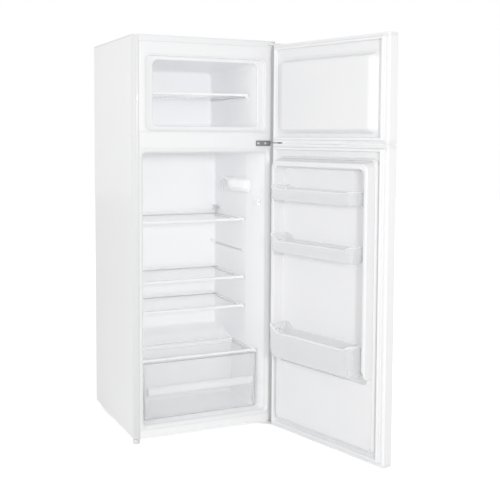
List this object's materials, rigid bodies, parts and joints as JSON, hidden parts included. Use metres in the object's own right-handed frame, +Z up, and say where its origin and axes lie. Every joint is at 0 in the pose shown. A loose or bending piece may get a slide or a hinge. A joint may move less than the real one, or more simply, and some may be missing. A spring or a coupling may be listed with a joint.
{
  "type": "top freezer refrigerator",
  "caption": "Tall narrow white refrigerator with a separate freezer compartment and door on top, glass shelves, a clear crisper drawer, door bins and right-hinged doors.",
  "frame": {"origin": "on the floor, under the middle of the cabinet's width and depth, without the doors", "axes": "+Z up, -Y out of the front, +X to the right as seen from the front"},
  "size_m": [0.6897, 1.07, 1.419],
  "materials": {
    "white_steel": "gloss white enamel",
    "white_plastic": "smooth white liner plastic",
    "grey_plastic": "satin light grey",
    "foam": "rigid insulation foam",
    "rubber": "soft white seal",
    "glass": "clear tempered glass",
    "clear_plastic": "clear plastic",
    "black_metal": "satin black",
    "zinc": "zinc plated",
    "black_plastic": "matt black",
    "copper": "bare copper tube"
  },
  "bodies": {
    "cabinet": {"side_panel_left": "white_steel", "side_panel_right": "white_steel", "top_cover": "grey_plastic", "back_panel": "white_steel", "base_pan": "white_steel", "mullion_plate": "white_plastic", "fridge_liner": "white_plastic", "freezer_liner": "white_plastic", "insulation_foam": "foam", "evaporator_plate": "zinc", "upper_hinge": "white_steel", "middle_hinge": "black_metal", "middle_hinge_screw_left": "zinc", "middle_hinge_screw_right": "zinc", "lower_hinge": "white_steel", "rear_foot_left": "black_plastic", "rear_foot_right": "black_plastic", "compressor": "black_metal", "compressor_plate": "zinc", "evaporation_tray": "white_plastic", "relay_cover": "black_plastic", "suction_tube": "copper", "mains_cord_gland": "black_plastic", "thermostat_housing": "white_plastic", "lamp_lens": "white_plastic", "lamp_bulb": "glass", "light_switch_body": "white_plastic"},
    "front_foot_left": {"front_foot_left": "grey_plastic"},
    "front_foot_right": {"front_foot_right": "grey_plastic"},
    "light_switch_plunger": {"light_switch_plunger": "grey_plastic"},
    "thermostat_knob": {"thermostat_knob": "grey_plastic"},
    "shelf_1": {"shelf_1_glass": "glass", "shelf_1_front_trim": "white_plastic", "shelf_1_rear_trim": "white_plastic"},
    "shelf_2": {"shelf_2_glass": "glass", "shelf_2_front_trim": "white_plastic", "shelf_2_rear_trim": "white_plastic"},
    "shelf_3": {"shelf_3_glass": "glass", "shelf_3_front_trim": "white_plastic", "shelf_3_rear_trim": "white_plastic"},
    "freezer_shelf": {"freezer_shelf_glass": "glass", "freezer_shelf_front_trim": "white_plastic"},
    "crisper_cover": {"crisper_cover_glass": "glass", "crisper_cover_trim": "white_plastic"},
    "crisper_drawer": {"crisper_drawer": "clear_plastic"},
    "freezer_door": {"freezer_door_skin": "white_steel", "freezer_door_top_cap": "grey_plastic", "freezer_door_bottom_cap": "grey_plastic", "freezer_door_liner": "white_plastic", "freezer_door_foam": "foam", "freezer_door_gasket": "rubber"},
    "fridge_door": {"fridge_door_skin": "white_steel", "fridge_door_top_cap": "grey_plastic", "fridge_door_bottom_cap": "grey_plastic", "fridge_door_liner": "white_plastic", "fridge_door_foam": "foam", "fridge_door_gasket": "rubber"},
    "door_bin_top": {"door_bin_top": "clear_plastic"},
    "door_bin_middle": {"door_bin_middle": "clear_plastic"},
    "door_bin_bottom": {"door_bin_bottom": "clear_plastic"}
  },
  "joints": [
    {"name": "freezer_door_hinge", "type": "hinge", "parent": "cabinet", "child": "freezer_door", "pos_m": [0.265, -0.2925, 1.228], "axis": [0, 0, 1], "range_deg": [-105, 20]},
    {"name": "fridge_door_hinge", "type": "hinge", "parent": "cabinet", "child": "fridge_door", "pos_m": [0.265, -0.2925, 0.532], "axis": [0, 0, 1], "range_deg": [-105, 20]},
    {"name": "freezer_shelf_slide", "type": "slide", "parent": "cabinet", "child": "freezer_shelf", "axis": [0, -1, 0], "range_m": [0, 0.12]},
    {"name": "shelf_1_slide", "type": "slide", "parent": "cabinet", "child": "shelf_1", "axis": [0, -1, 0], "range_m": [0, 0.12]},
    {"name": "shelf_2_slide", "type": "slide", "parent": "cabinet", "child": "shelf_2", "axis": [0, -1, 0], "range_m": [0, 0.12]},
    {"name": "shelf_3_slide", "type": "slide", "parent": "cabinet", "child": "shelf_3", "axis": [0, -1, 0], "range_m": [0, 0.12]},
    {"name": "crisper_cover_slide", "type": "slide", "parent": "cabinet", "child": "crisper_cover", "axis": [0, -1, 0], "range_m": [0, 0.1]},
    {"name": "crisper_drawer_slide", "type": "slide", "parent": "cabinet", "child": "crisper_drawer", "axis": [0, -1, 0], "range_m": [0, 0.2]},
    {"name": "door_bin_top_lift", "type": "slide", "parent": "fridge_door", "child": "door_bin_top", "axis": [0, 0, 1], "range_m": [0, 0.03]},
    {"name": "door_bin_middle_lift", "type": "slide", "parent": "fridge_door", "child": "door_bin_middle", "axis": [0, 0, 1], "range_m": [0, 0.03]},
    {"name": "door_bin_bottom_lift", "type": "slide", "parent": "fridge_door", "child": "door_bin_bottom", "axis": [0, 0, 1], "range_m": [0, 0.03]},
    {"name": "thermostat_turn", "type": "hinge", "parent": "cabinet", "child": "thermostat_knob", "pos_m": [0.195, 0.0475, 0.886], "axis": [1, 0, 0], "range_deg": [0, 270]},
    {"name": "light_switch_press", "type": "slide", "parent": "cabinet", "child": "light_switch_plunger", "axis": [0, 1, 0], "range_m": [0, 0.006], "stiffness_N_per_m": 200},
    {"name": "front_foot_left_screw", "type": "hinge", "parent": "cabinet", "child": "front_foot_left", "pos_m": [-0.259, -0.2365, 0.01], "axis": [0, 0, 1], "range_deg": [0, 360]},
    {"name": "front_foot_right_screw", "type": "hinge", "parent": "cabinet", "child": "front_foot_right", "pos_m": [0.259, -0.2365, 0.01], "axis": [0, 0, 1], "range_deg": [0, 360]}
  ]
}
